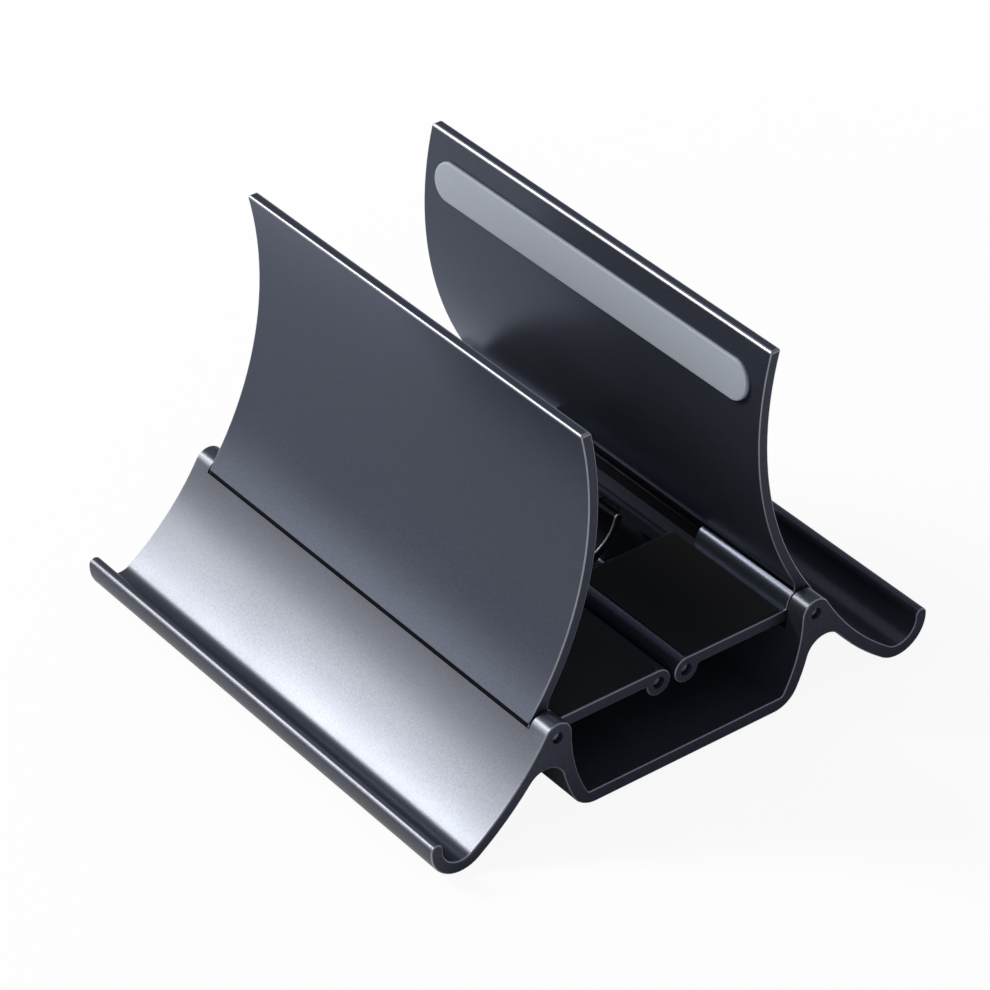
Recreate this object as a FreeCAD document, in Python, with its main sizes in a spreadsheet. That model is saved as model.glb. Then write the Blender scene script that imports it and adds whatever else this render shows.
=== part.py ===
import FreeCAD, Part

import math
import os

import Sketcher
from FreeCAD import Placement, Rotation, Vector

# Vertical laptop stand: a base extruded in one profile, with a tray on each side, carries two
# hinged clamps. A laptop set between the wings presses the flaps down and the wings close on it.
#
# Frame: X to the right, Y to the back, Z up. The origin is on the ground, under the middle of
# the base. All sizes are in millimetres and all angles in degrees.

SIZES = {
    # base profile
    "base_length": (130.0, "length of the base along Y"),
    "axis_x": (36.4, "hinge axis, from the middle plane"),
    "axis_z": (23.9, "hinge axis, above the ground"),
    "ear_radius": (3.85, "round ear about the hinge axis"),
    "wall_curve": (39.25, "radius of the well's inner wall"),
    "wall_thickness": (3.43, "well wall"),
    "floor_top": (4.75, "upper face of the floor above the ground"),
    "floor_thickness": (3.35, "floor of the well"),
    "floor_fillet": (1.2, "inner corner of the well"),
    "corner_round": (7.0, "outer corner under the well"),
    "arch_round": (5.2, "round top of the hollow under each hinge"),
    "tray_curve": (70.0, "radius of the tray's sweep"),
    "tray_thickness": (3.1, "wall of the tray"),
    "tray_gap": (0.3, "trough above the ground"),
    "trough_x": (62.2, "middle of the trough, from the middle plane"),
    "trough_radius": (5.0, "inner radius of the trough"),
    "lip_rise": (0.55, "straight part of the lip above the trough's centre"),
    # hinge
    "ear_length": (5.2, "ear at each end of the base"),
    "end_gap": (0.4, "gap between an ear and the clamp's barrel"),
    "barrel_radius": (3.8, "barrel of the clamp"),
    "barrel_clearance": (0.2, "space around the barrel"),
    "swing": (19.0, "how far each clamp can turn"),
    "swing_clearance": (0.5, "space under the flap at full swing"),
    "pin_radius": (1.4, "hinge pin"),
    "pin_recess": (0.6, "pin end below the ear's face"),
    "pin_seat": (0.02, "radial play of the pin in an ear"),
    "pin_running": (0.05, "radial play of a bush on the pin"),
    "bush_radius": (2.08, "outer radius of the bush"),
    "bush_seat": (0.02, "radial play of the bush in the barrel"),
    "bush_length": (6.0, "bush inside the barrel"),
    "bush_flange": (0.3, "flange between ear and barrel"),
    "bush_flange_radius": (3.2, "outer radius of the flange"),
    # wing
    "wing_waist": (50.6, "where the wings come nearest, above the hinge axis"),
    "wing_radius": (84.2, "radius of the wing's outer face"),
    "wing_thickness": (2.6, "wall of the wing"),
    "wing_top": (95.0, "top edge of the wing above the ground"),
    "foot_out": (3.57, "lower outer corner of the wing, outwards from the hinge axis"),
    "foot_rise": (2.1, "lower outer corner of the wing, above the hinge axis"),
    "web_in": (1.8, "inner face of the wing's foot, inwards from the hinge axis"),
    "web_fillet": (4.0, "hollow between the wing and its foot"),
    # flap
    "flap_drop": (0.5, "upper face of the flap below the hinge axis"),
    "flap_thickness": (3.0, "wall of the flap"),
    "flap_fillet": (1.3, "hollow between the flap and the barrel"),
    "curl_x": (3.9, "centre of the flap's curled edge, from the middle plane"),
    "curl_radius": (3.3, "outer radius of the curled edge"),
    "curl_fillet": (0.8, "hollow behind the curled edge"),
    "window_length": (42.0, "window in the flap along Y"),
    "window_in": (7.9, "outer side of the window, inwards from the hinge axis"),
    "notch_length": (55.6, "gap in the barrel's ridge along Y"),
    "notch_in": (2.8, "side of that gap, inwards from the hinge axis"),
    "slot_in": (6.5, "slot beside the window, inwards from the hinge axis"),
    "slot_width": (0.7, "slot beside the window"),
    "slot_length": (41.4, "slot beside the window along Y"),
    "rod_radius": (1.45, "rod in the curled edge"),
    "rod_running": (0.05, "radial play around the rod"),
    "rod_recess": (0.6, "rod end below the curl's face"),
    # cradle in the window
    "cradle_length": (19.2, "cradle along Y"),
    "cradle_out": (10.0, "centre of the cradle's curve, outwards from the rod"),
    "cradle_rise": (5.5, "centre of the cradle's curve, above the rod"),
    "cradle_radius": (10.2, "inner radius of the cradle"),
    "cradle_thickness": (2.65, "wall of the cradle"),
    "cradle_tip": (-13.6, "angle of the cradle's free tip"),
    "cradle_eye": (2.9, "outer radius of the cradle's eye"),
    # soft parts
    "pad_thickness": (1.0, "strip on the wing"),
    "pad_length": (110.0, "strip on the wing along Y"),
    "pad_width": (9.7, "strip on the wing, upright"),
    "pad_drop": (10.65, "middle of the strip below the top of the wing"),
    "sheet_thickness": (0.35, "sheet on the flap"),
    "sheet_inner": (3.9, "inner side of the sheet, from the middle plane"),
    "sheet_in": (5.15, "outer side of the sheet, inwards from the hinge axis"),
    "sheet_start": (0.65, "sheet's margin from the end of the flap"),
    "sheet_margin": (0.8, "sheet's margin from the window"),
    "sheet_corner": (1.0, "corner radius of the sheet"),
    "foot_x": (18.0, "middle of the foot strip, from the middle plane"),
    "foot_width": (8.0, "foot strip across"),
    "foot_length": (110.0, "foot strip along Y"),
    "foot_groove": (0.6, "groove in the floor for the strip"),
    "foot_play": (0.05, "play of the strip in its groove"),
    # return spring
    "wire_radius": (0.3, "wire of the return spring"),
    "coil_radius": (1.85, "mean radius of its coil"),
    "coil_pitch": (0.75, "pitch of its coil"),
    "coil_turns": (4.0, "full turns of its coil"),
    "coil_facets": (14.0, "straight pieces in one turn of its coil"),
    "coil_space": (0.2, "space around the coil"),
    "leg_reach": (8.4, "end of the leg under the flap, inwards from the hinge axis"),
    "leg_depth": (9.9, "end of the leg in the base, below the hinge axis"),
    "spring_room": (12.0, "recess for the spring along Y"),
}

doc = FreeCAD.newDocument("laptop_stand")
sheet = doc.addObject("Spreadsheet::Sheet", "sizes")
for row, (alias, (value, meaning)) in enumerate(SIZES.items(), start=1):
    sheet.set(f"A{row}", alias)
    sheet.set(f"B{row}", str(value))
    sheet.set(f"C{row}", meaning)
    sheet.setAlias(f"B{row}", alias)
doc.recompute()

RIGHT = 1
LEFT = -1
SIDES = {"right": RIGHT, "left": LEFT}
OVERRUN = 1.0  # how far a cut starts outside the material
TOUCHING = 1e-6  # two ends nearer than this are one point
WIRE_SIDES = 6

parts = []
problems = []


def size(alias):
    """Read one driving size from the sheet."""
    return float(getattr(sheet, alias))


# Plane geometry: a point holds X and Z of the section.


def point(x, z):
    return Vector(x, z, 0)


def polar(centre, radius, degrees):
    turn = math.radians(degrees)
    return centre + point(radius * math.cos(turn), radius * math.sin(turn))


def bearing(centre, target):
    """Angle of the line from centre to target."""
    way = target - centre
    return math.degrees(math.atan2(way.y, way.x))


def towards(centre, target, distance):
    way = target - centre
    return centre + way.normalize() * distance


def crossing(first, first_distance, second, second_distance):
    """The point at two distances from two centres, left of the way from first to second."""
    heading = bearing(first, second)
    apart = first.distanceToPoint(second)
    along = (first_distance ** 2 - second_distance ** 2 + apart ** 2) / (2 * apart)
    aside = math.sqrt(first_distance ** 2 - along ** 2)
    return polar(polar(first, along, heading), aside, heading + 90)


def line(start, end):
    return Part.LineSegment(start, end)


def arc(centre, radius, first, last):
    """Arc of a circle between two angles, through the angle halfway."""
    middle = (first + last) / 2
    return Part.Arc(polar(centre, radius, first), polar(centre, radius, middle),
                    polar(centre, radius, last))


def rectangle(low_x, low_z, high_x, high_z):
    corners = [point(low_x, low_z), point(high_x, low_z), point(high_x, high_z), point(low_x, high_z)]
    return [line(corners[i], corners[(i + 1) % 4]) for i in range(4)]


def flipped(edges, side):
    """The same edges on the chosen side of the middle plane."""
    if side == RIGHT:
        return edges
    mirror = FreeCAD.Matrix()
    mirror.scale(Vector(-1, 1, 1))
    result = []
    for edge in edges:
        if isinstance(edge, Part.LineSegment):
            result.append(line(mirror * edge.StartPoint, mirror * edge.EndPoint))
        else:
            span = (edge.FirstParameter + edge.LastParameter) / 2
            result.append(Part.Arc(mirror * edge.StartPoint, mirror * edge.value(span),
                                   mirror * edge.EndPoint))
    return result


# Document objects


def new_body(name):
    body = doc.addObject("PartDesign::Body", name)
    body.Label = name
    parts.append(body)
    return body


def new_sketch(body, name, role="XZ_Plane"):
    sketch = body.newObject("Sketcher::SketchObject", name)
    plane = [item for item in body.Origin.OriginFeatures if item.Role == role][0]
    sketch.AttachmentSupport = [(plane, "")]
    sketch.MapMode = "FlatFace"
    return sketch


def outline(body, name, edges, role="XZ_Plane"):
    """A closed sketch, its edges joined end to end."""
    sketch = new_sketch(body, name, role)
    sketch.addGeometry(edges, False)
    ends = []
    for index in range(len(edges)):
        for end in (1, 2):
            ends.append((index, end, sketch.getPoint(index, end)))
    for first in range(len(ends)):
        for second in range(first + 1, len(ends)):
            if ends[first][0] == ends[second][0]:
                continue
            if ends[first][2].distanceToPoint(ends[second][2]) < TOUCHING:
                sketch.addConstraint(Sketcher.Constraint("Coincident", ends[first][0], ends[first][1],
                                                         ends[second][0], ends[second][1]))
    return sketch


def circle(body, name, centre, radius, where):
    """A sketched circle, its radius and its centre bound to the sheet."""
    sketch = new_sketch(body, name)
    sketch.addGeometry(Part.Circle(centre, Vector(0, 0, 1), radius[0]), False)
    origin = (-1, 1)
    middle = (0, 3)
    # A distance runs from left to right, so on the left it starts at the circle.
    ends = middle + origin if centre.x < 0 else origin + middle
    dimensions = [
        ("rim", Sketcher.Constraint("Radius", 0, radius[0]), radius[1]),
        ("across", Sketcher.Constraint("DistanceX", *ends, abs(centre.x)), where[0]),
        ("height", Sketcher.Constraint("DistanceY", *origin, *middle, centre.y), where[1]),
    ]
    for label, constraint, formula in dimensions:
        sketch.renameConstraint(sketch.addConstraint(constraint), label)
        sketch.setExpression("Constraints." + label, formula)
    return sketch


def pad(body, sketch, formula, symmetric=True):
    feature = body.newObject("PartDesign::Pad", sketch.Name + "_pad")
    feature.Profile = sketch
    if symmetric:
        feature.SideType = "Symmetric"
    feature.setExpression("Length", formula)
    doc.recompute()
    return feature


def pocket(body, sketch, formula):
    """Cut the sketch through the body, evenly to the front and to the back."""
    before = body.Shape.Volume
    feature = body.newObject("PartDesign::Pocket", sketch.Name + "_cut")
    feature.Profile = sketch
    feature.SideType = "Symmetric"
    feature.setExpression("Length", formula)
    doc.recompute()
    if not body.Shape.Volume < before - TOUCHING:
        problems.append(feature.Name + " removes nothing")
    return feature


# Points that several pieces share

AXIS = point(size("axis_x"), size("axis_z"))
CLAMP_LENGTH = "sizes.base_length - 2 * (sizes.ear_length + sizes.end_gap)"
WELL_LENGTH = "sizes.base_length - 2 * sizes.ear_length"
clamp_length = size("base_length") - 2 * (size("ear_length") + size("end_gap"))
flap_top = AXIS.y - size("flap_drop")
flap_bottom = flap_top - size("flap_thickness")
floor_bottom = size("floor_top") - size("floor_thickness")
bore_radius = size("bush_radius") + size("bush_seat")
CURL = point(size("curl_x"), flap_top - size("curl_radius"))
FLAP_TOP = "sizes.axis_z - sizes.flap_drop"
CURL_HEIGHT = FLAP_TOP + " - sizes.curl_radius"
wall_centre = point(size("axis_x") - size("ear_radius") - size("wall_curve"), size("axis_z"))
WING_FOOT = AXIS + point(size("foot_out"), size("foot_rise"))
wing_climb = size("wing_waist") - size("foot_rise")
WING = point(WING_FOOT.x + math.sqrt(size("wing_radius") ** 2 - wing_climb ** 2),
             AXIS.y + size("wing_waist"))
wing_inner = size("wing_radius") + size("wing_thickness")
pad_height = size("wing_top") - size("pad_drop")


def well_edges():
    """Inner wall of the well, from the floor up to the ear."""
    round_ = size("floor_fillet")
    rise = size("floor_top") + round_ - wall_centre.y
    reach = math.sqrt((size("wall_curve") - round_) ** 2 - rise ** 2)
    corner = point(wall_centre.x + reach, size("floor_top") + round_)
    slope = bearing(wall_centre, corner)
    return corner, [arc(corner, round_, -90, slope), arc(wall_centre, size("wall_curve"), slope, 0)]


def base_outline():
    """Right half of the base profile, from the floor over the ear and the tray to the underside."""
    thick = size("tray_thickness")
    ear = size("ear_radius")
    inner = size("trough_radius")
    sweep = size("tray_curve")

    # The sweep touches the ear from outside and lies round the trough.
    trough = point(size("trough_x"), size("tray_gap") + thick + inner)
    sweep_centre = crossing(AXIS, sweep + ear, trough, sweep - inner)
    ear_side = bearing(AXIS, sweep_centre)
    trough_side = bearing(trough, sweep_centre)

    # The arch touches the underside of the sweep and the outer wall of the well.
    arch = size("arch_round")
    outer_wall = size("wall_curve") + size("wall_thickness")
    arch_centre = crossing(sweep_centre, sweep + thick + arch, wall_centre, outer_wall + arch)
    arch_sweep = bearing(arch_centre, sweep_centre)
    arch_wall = bearing(wall_centre, arch_centre)

    # The outer corner touches the wall and the underside of the floor.
    corner = size("corner_round")
    drop = floor_bottom + corner - wall_centre.y
    corner_centre = point(wall_centre.x + math.sqrt((outer_wall - corner) ** 2 - drop ** 2),
                          floor_bottom + corner)
    corner_side = bearing(wall_centre, corner_centre)

    fillet_centre, edges = well_edges()
    lip = trough + point(0, size("lip_rise"))
    lip_centre = lip + point(inner + thick / 2, 0)
    edges += [
        arc(AXIS, ear, 180, ear_side),
        arc(sweep_centre, sweep, 180 + ear_side, 180 + trough_side),
        arc(trough, inner, 180 + trough_side, 360),
        line(trough + point(inner, 0), lip + point(inner, 0)),
        arc(lip_centre, thick / 2, 180, 0),
        line(lip + point(inner + thick, 0), trough + point(inner + thick, 0)),
        arc(trough, inner + thick, 360, 180 + trough_side),
        arc(sweep_centre, sweep + thick, 180 + trough_side, 180 + arch_sweep),
        arc(arch_centre, arch, arch_sweep, 180 + arch_wall),
        arc(wall_centre, outer_wall, arch_wall, corner_side),
        arc(corner_centre, corner, corner_side, -90),
    ]
    return fillet_centre.x, corner_centre.x, edges


def build_base():
    """The base: one long extrusion, cut back between its ears and bored for the hinge pins."""
    body = new_body("base")
    floor_end, under_end, half = base_outline()
    edges = half + flipped(half, LEFT)
    edges.append(line(point(-floor_end, size("floor_top")), point(floor_end, size("floor_top"))))
    edges.append(line(point(-under_end, floor_bottom), point(under_end, floor_bottom)))
    pad(body, outline(body, "profile", edges), "sizes.base_length")

    # Between the ears the profile makes room for the barrels and for the flaps as they swing.
    reach = size("axis_x") - size("ear_radius")
    swing = math.radians(size("swing"))
    low = AXIS.y - (AXIS.y - flap_bottom) / math.cos(swing)
    low -= size("ear_radius") * math.tan(swing) + size("swing_clearance")
    for name, side in SIDES.items():
        where = ("sizes.axis_x", "sizes.axis_z")
        centre = point(side * AXIS.x, AXIS.y)
        hollow = size("barrel_radius") + size("barrel_clearance")
        pocket(body, circle(body, name + "_barrel_room", centre,
                            (hollow, "sizes.barrel_radius + sizes.barrel_clearance"), where),
               WELL_LENGTH)
        room = rectangle(reach - size("wall_thickness"), low, AXIS.x,
                         AXIS.y + size("ear_radius") + OVERRUN)
        pocket(body, outline(body, name + "_flap_room", flipped(room, side)), WELL_LENGTH)
        pocket(body, circle(body, name + "_pin_hole", centre,
                            (size("pin_radius") + size("pin_seat"),
                             "sizes.pin_radius + sizes.pin_seat"), where), "sizes.base_length")
        leg_x = AXIS.x - size("coil_radius")
        half_slot = size("wire_radius") + size("coil_space")
        slot = rectangle(leg_x - half_slot, AXIS.y - size("leg_depth") - half_slot,
                         leg_x + half_slot, AXIS.y)
        pocket(body, outline(body, name + "_leg_slot", flipped(slot, side)),
               "sizes.spring_room / 2")
        half_foot = size("foot_width") / 2 + size("foot_play")
        groove = rectangle(size("foot_x") - half_foot, floor_bottom - OVERRUN,
                           size("foot_x") + half_foot, floor_bottom + size("foot_groove"))
        pocket(body, outline(body, name + "_foot_groove", flipped(groove, side)),
               "sizes.foot_length + 2 * sizes.foot_play")
    return body


def clamp_outline():
    """Section of the right clamp: wing, foot, barrel, flap and curled edge."""
    barrel = size("barrel_radius")
    top = size("wing_top")
    web = AXIS.x - size("web_in")

    def on_wing(radius, height):
        return point(WING.x - math.sqrt(radius ** 2 - (height - WING.y) ** 2), height)

    outer_top = on_wing(size("wing_radius"), top)
    inner_top = on_wing(wing_inner, top)

    # Hollow between the wing's inner face and its upright foot
    hollow = size("web_fillet")
    across = WING.x - web + hollow
    hollow_centre = point(web - hollow,
                          WING.y - math.sqrt((wing_inner + hollow) ** 2 - across ** 2))
    crease = point(web, AXIS.y + math.sqrt(barrel ** 2 - size("web_in") ** 2))

    # Hollow between the barrel and the flap
    small = size("flap_fillet")
    small_z = flap_top + small
    small_x = AXIS.x - math.sqrt((barrel + small) ** 2 - (small_z - AXIS.y) ** 2)
    small_centre = point(small_x, small_z)

    # Hollow between the curled edge and the underside of the flap
    curl = size("curl_radius")
    back = size("curl_fillet")
    back_z = flap_bottom - back
    back_centre = point(CURL.x + math.sqrt((curl + back) ** 2 - (back_z - CURL.y) ** 2), back_z)

    under_x = AXIS.x - math.sqrt(barrel ** 2 - (AXIS.y - flap_bottom) ** 2)
    under = point(under_x, flap_bottom)
    wing_side = towards(AXIS, WING_FOOT, barrel)

    return [
        arc(WING, size("wing_radius"), bearing(WING, WING_FOOT) % 360, bearing(WING, outer_top) % 360),
        line(outer_top, inner_top),
        arc(WING, wing_inner, bearing(WING, inner_top) % 360, bearing(WING, hollow_centre) % 360),
        arc(hollow_centre, hollow, bearing(hollow_centre, WING), 0),
        line(hollow_centre + point(hollow, 0), crease),
        arc(AXIS, barrel, bearing(AXIS, crease), bearing(AXIS, small_centre)),
        arc(small_centre, small, bearing(small_centre, AXIS), -90),
        line(point(small_x, flap_top), point(CURL.x, flap_top)),
        arc(CURL, curl, 90, 360 + bearing(CURL, back_centre)),
        arc(back_centre, back, bearing(back_centre, CURL), 90),
        line(back_centre + point(0, back), under),
        arc(AXIS, barrel, bearing(AXIS, under) % 360, 360 + bearing(AXIS, wing_side)),
        line(wing_side, WING_FOOT),
    ]


def build_clamp(name, side):
    """A clamp: one extrusion, cut for the window, the slot, the gap in the ridge and the spring."""
    body = new_body(name + "_clamp")
    where = ("sizes.axis_x", "sizes.axis_z")
    centre = point(side * AXIS.x, AXIS.y)
    pad(body, outline(body, name + "_section", flipped(clamp_outline(), side)), CLAMP_LENGTH)
    pocket(body, circle(body, name + "_bore", centre,
                        (bore_radius, "sizes.bush_radius + sizes.bush_seat"), where), CLAMP_LENGTH)
    pocket(body, circle(body, name + "_curl_hole", point(side * CURL.x, CURL.y),
                        (size("rod_radius") + size("rod_running"),
                         "sizes.rod_radius + sizes.rod_running"),
                        ("sizes.curl_x", CURL_HEIGHT)), CLAMP_LENGTH)

    outside = size("curl_radius") + OVERRUN
    window = rectangle(CURL.x - outside, CURL.y - outside, AXIS.x - size("window_in"),
                       flap_top + OVERRUN)
    pocket(body, outline(body, name + "_window", flipped(window, side)), "sizes.window_length")
    half_slot = size("slot_width") / 2
    slot_x = AXIS.x - size("slot_in")
    slot = rectangle(slot_x - half_slot, flap_bottom - OVERRUN, slot_x + half_slot,
                     flap_top + OVERRUN)
    pocket(body, outline(body, name + "_slot", flipped(slot, side)), "sizes.slot_length")
    notch_x = AXIS.x - size("notch_in")
    notch = rectangle(notch_x - size("barrel_radius"), flap_top, notch_x,
                      AXIS.y + size("barrel_radius"))
    pocket(body, outline(body, name + "_ridge_gap", flipped(notch, side)), "sizes.notch_length")

    room = size("coil_radius") + size("wire_radius") + size("coil_space")
    pocket(body, circle(body, name + "_coil_room", centre,
                        (room, "sizes.coil_radius + sizes.wire_radius + sizes.coil_space"), where),
           "sizes.spring_room")
    leg_top = AXIS.y - size("coil_radius") + size("wire_radius") + size("coil_space")
    leg_end = AXIS.x - size("leg_reach") - size("wire_radius") - size("coil_space")
    opening = rectangle(leg_end, flap_bottom - OVERRUN, AXIS.x, leg_top)
    pocket(body, outline(body, name + "_leg_room", flipped(opening, side)), "sizes.spring_room")
    below = rectangle(AXIS.x - room, flap_bottom - OVERRUN, AXIS.x + room, AXIS.y)
    pocket(body, outline(body, name + "_coil_opening", flipped(below, side)), "sizes.spring_room")
    return body


def build_cradle(name, side):
    """A curved cradle that hangs in the window from the rod in the curled edge."""
    body = new_body(name + "_stop_cradle")
    centre = CURL + point(size("cradle_out"), size("cradle_rise"))
    inner = size("cradle_radius")
    outer = inner + size("cradle_thickness")
    middle = (inner + outer) / 2
    half = size("cradle_thickness") / 2
    first = size("cradle_tip")
    last = bearing(centre, CURL)
    tip = polar(centre, middle, first)
    edges = [
        arc(centre, inner, first, last),
        line(polar(centre, inner, last), polar(centre, outer, last)),
        arc(centre, outer, last, first),
        arc(tip, half, first, first + 180),
    ]
    pad(body, outline(body, name + "_strip", flipped(edges, side)), "sizes.cradle_length")
    where = ("sizes.curl_x", CURL_HEIGHT)
    eye = point(side * CURL.x, CURL.y)
    pad(body, circle(body, name + "_eye", eye, (size("cradle_eye"), "sizes.cradle_eye"), where),
        "sizes.cradle_length")
    pocket(body, circle(body, name + "_eye_hole", eye,
                        (size("rod_radius") + size("rod_running"),
                         "sizes.rod_radius + sizes.rod_running"), where), "sizes.cradle_length")
    return body


def build_bar(label, side, radius, length, centre, where):
    """A straight round bar along Y, centred on the middle of the base."""
    body = new_body(label)
    sketch = circle(body, label + "_ring", point(side * centre.x, centre.y),
                    (size(radius), "sizes." + radius), where)
    pad(body, sketch, length)
    return body


def build_bush(label, side, end):
    """A flanged bush in one end of a barrel. Its flange faces the ear."""
    flange = size("bush_flange")
    face = size("base_length") / 2 - size("ear_length") - size("end_gap")
    shapes = {}
    for part_name, radius, height in (("sleeve", "sizes.bush_radius", "sizes.bush_length"),
                                      ("flange", "sizes.bush_flange_radius", "sizes.bush_flange"),
                                      ("hole", "sizes.pin_radius + sizes.pin_running",
                                       "sizes.bush_length + 2 * sizes.bush_flange")):
        cylinder = doc.addObject("Part::Cylinder", label + "_" + part_name)
        cylinder.setExpression("Radius", radius)
        cylinder.setExpression("Height", height)
        shapes[part_name] = cylinder
    # Each cylinder stands on the barrel's end face and points into the barrel, along -Y * end.
    turn = Rotation(Vector(1, 0, 0), 90 * end)
    foot = Vector(side * AXIS.x, end * face, AXIS.y)
    shapes["sleeve"].Placement = Placement(foot, turn)
    shapes["flange"].Placement = Placement(foot + Vector(0, end * flange, 0), turn)
    shapes["hole"].Placement = Placement(foot + Vector(0, end * flange, 0), turn)
    blank = doc.addObject("Part::Fuse", label + "_blank")
    blank.Base = shapes["sleeve"]
    blank.Tool = shapes["flange"]
    bush = doc.addObject("Part::Cut", label)
    bush.Label = label
    bush.Base = blank
    bush.Tool = shapes["hole"]
    doc.recompute()
    if not bush.Shape.Volume < blank.Shape.Volume:
        problems.append(label + " has no hole")
    parts.append(bush)
    return bush


def build_wing_pad(name, side):
    """A soft strip with round ends on the inner face of a wing, curved with the wing."""
    label = name + "_wing_pad"
    ring = []
    for part_name, radius in (("face", "sizes.wing_radius + sizes.wing_thickness"),
                              ("skin", "sizes.wing_radius + sizes.wing_thickness"
                                       " + sizes.pad_thickness")):
        cylinder = doc.addObject("Part::Cylinder", label + "_" + part_name)
        cylinder.setExpression("Radius", radius)
        cylinder.setExpression("Height", "sizes.pad_length")
        cylinder.Placement = Placement(Vector(side * WING.x, size("pad_length") / 2, WING.y),
                                       Rotation(Vector(1, 0, 0), 90))
        ring.append(cylinder)
    shell = doc.addObject("Part::Cut", label + "_shell")
    shell.Base = ring[1]
    shell.Tool = ring[0]

    # The strip's outline, seen along X: a bar between two round ends
    half = size("pad_width") / 2
    straight = size("pad_length") / 2 - half
    bar = doc.addObject("Part::Box", label + "_bar")
    bar.setExpression("Length", "sizes.wing_radius")
    bar.setExpression("Width", "sizes.pad_length - sizes.pad_width")
    bar.setExpression("Height", "sizes.pad_width")
    bar.Placement.Base = Vector(min(0, side * size("wing_radius")), -straight, pad_height - half)
    ends = [bar]
    for number, end in enumerate((-1, 1)):
        cap = doc.addObject("Part::Cylinder", f"{label}_cap_{number}")
        cap.setExpression("Radius", "sizes.pad_width / 2")
        cap.setExpression("Height", "sizes.wing_radius")
        cap.Placement = Placement(Vector(0, end * straight, pad_height),
                                  Rotation(Vector(0, 1, 0), 90 * side))
        ends.append(cap)
    stadium = doc.addObject("Part::MultiFuse", label + "_stadium")
    stadium.Shapes = ends
    strip = doc.addObject("Part::Common", label)
    strip.Label = label
    strip.Base = shell
    strip.Tool = stadium
    doc.recompute()
    parts.append(strip)
    return strip


def rounded(low_x, low_y, high_x, high_y, corner):
    """A rectangle with round corners."""
    centres = [point(high_x - corner, high_y - corner), point(low_x + corner, high_y - corner),
               point(low_x + corner, low_y + corner), point(high_x - corner, low_y + corner)]
    edges = []
    for index, centre in enumerate(centres):
        start = 90 * index
        following = centres[(index + 1) % 4]
        edges.append(arc(centre, corner, start, start + 90))
        edges.append(line(polar(centre, corner, start + 90), polar(following, corner, start + 90)))
    return [edge for edge in edges if not is_dot(edge)]


def is_dot(edge):
    return isinstance(edge, Part.LineSegment) and edge.length() < TOUCHING


def build_plate(label, edges, level, thickness):
    """A flat plate that lies on the given level."""
    body = new_body(label)
    sketch = outline(body, label + "_plan", edges, "XY_Plane")
    sketch.setExpression("AttachmentOffset.Base.z", level)
    pad(body, sketch, thickness, symmetric=False)
    return body


def build_sheets(name, side):
    """Two thin soft sheets on a flap, in front of the window and behind it."""
    far = clamp_length / 2 - size("sheet_start")
    near = size("window_length") / 2 + size("sheet_margin")
    for place, low, high in (("front", -far, -near), ("rear", near, far)):
        edges = rounded(size("sheet_inner"), low, AXIS.x - size("sheet_in"), high,
                        size("sheet_corner"))
        build_plate(f"{name}_{place}_flap_sheet", flipped(edges, side), FLAP_TOP,
                    "sizes.sheet_thickness")


def build_foot(name, side):
    """A soft strip let into the underside of the floor. It stands on the ground."""
    half_width = size("foot_width") / 2
    half_length = size("foot_length") / 2
    edges = rounded(size("foot_x") - half_width, -half_length, size("foot_x") + half_width,
                    half_length, half_width - size("foot_play"))
    build_plate(name + "_foot_strip", flipped(edges, side), "0",
                "sizes.floor_top - sizes.floor_thickness + sizes.foot_groove")


def build_spring(name, side):
    """The return spring: a coil on the hinge pin with one leg under the flap and one in the base."""
    wire = size("wire_radius")
    coil = size("coil_radius")
    reach = point(AXIS.x - size("leg_reach"), flap_bottom - wire - size("coil_space") / 2)

    # The upper leg touches the coil from below; the lower leg hangs from its inner side.
    lean = math.degrees(math.asin(coil / reach.distanceToPoint(AXIS)))
    start = bearing(reach, AXIS) - lean - 90
    turns = size("coil_turns") + (180 - start) / 360
    height = size("coil_pitch") * turns
    steps = round(turns * size("coil_facets"))
    path = [Vector(reach.x, height / 2, reach.y)]
    for step in range(steps + 1):
        place = polar(AXIS, coil, start + 360 * turns * step / steps)
        path.append(Vector(place.x, height / 2 - height * step / steps, place.y))
    path.append(Vector(path[-1].x, path[-1].y, AXIS.y - size("leg_depth")))

    # The wire has a six-sided section, square to its first leg.
    way = (path[1] - path[0]).normalize()
    across = way.cross(Vector(0, 1, 0)).normalize()
    upright = way.cross(across)
    corners = []
    for index in range(WIRE_SIDES + 1):
        turn = 2 * math.pi * index / WIRE_SIDES
        corners.append(path[0] + across * (wire * math.cos(turn)) + upright * (wire * math.sin(turn)))
    sweep = Part.BRepOffsetAPI.MakePipeShell(Part.makePolygon(path))
    sweep.setTransitionMode(1)
    sweep.add(Part.makePolygon(corners))
    sweep.build()
    sweep.makeSolid()
    shape = sweep.shape()
    if side == LEFT:
        shape = shape.mirror(Vector(0, 0, 0), Vector(1, 0, 0))
    spring = doc.addObject("Part::Feature", name + "_return_spring")
    spring.Label = name + "_return_spring"
    spring.Shape = shape
    spring.Placement = Placement(Vector(0, 0, 0), Rotation())
    parts.append(spring)
    return spring


build_base()
for side_name, side_sign in SIDES.items():
    build_clamp(side_name, side_sign)
    build_cradle(side_name, side_sign)
    build_bar(side_name + "_hinge_pin", side_sign, "pin_radius",
              "sizes.base_length - 2 * sizes.pin_recess", AXIS, ("sizes.axis_x", "sizes.axis_z"))
    build_bar(side_name + "_curl_rod", side_sign, "rod_radius",
              CLAMP_LENGTH + " - 2 * sizes.rod_recess", CURL, ("sizes.curl_x", CURL_HEIGHT))
    build_bush(side_name + "_front_bush", side_sign, -1)
    build_bush(side_name + "_rear_bush", side_sign, 1)
    build_wing_pad(side_name, side_sign)
    build_sheets(side_name, side_sign)
    build_foot(side_name, side_sign)
    build_spring(side_name, side_sign)
doc.recompute()

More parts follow.
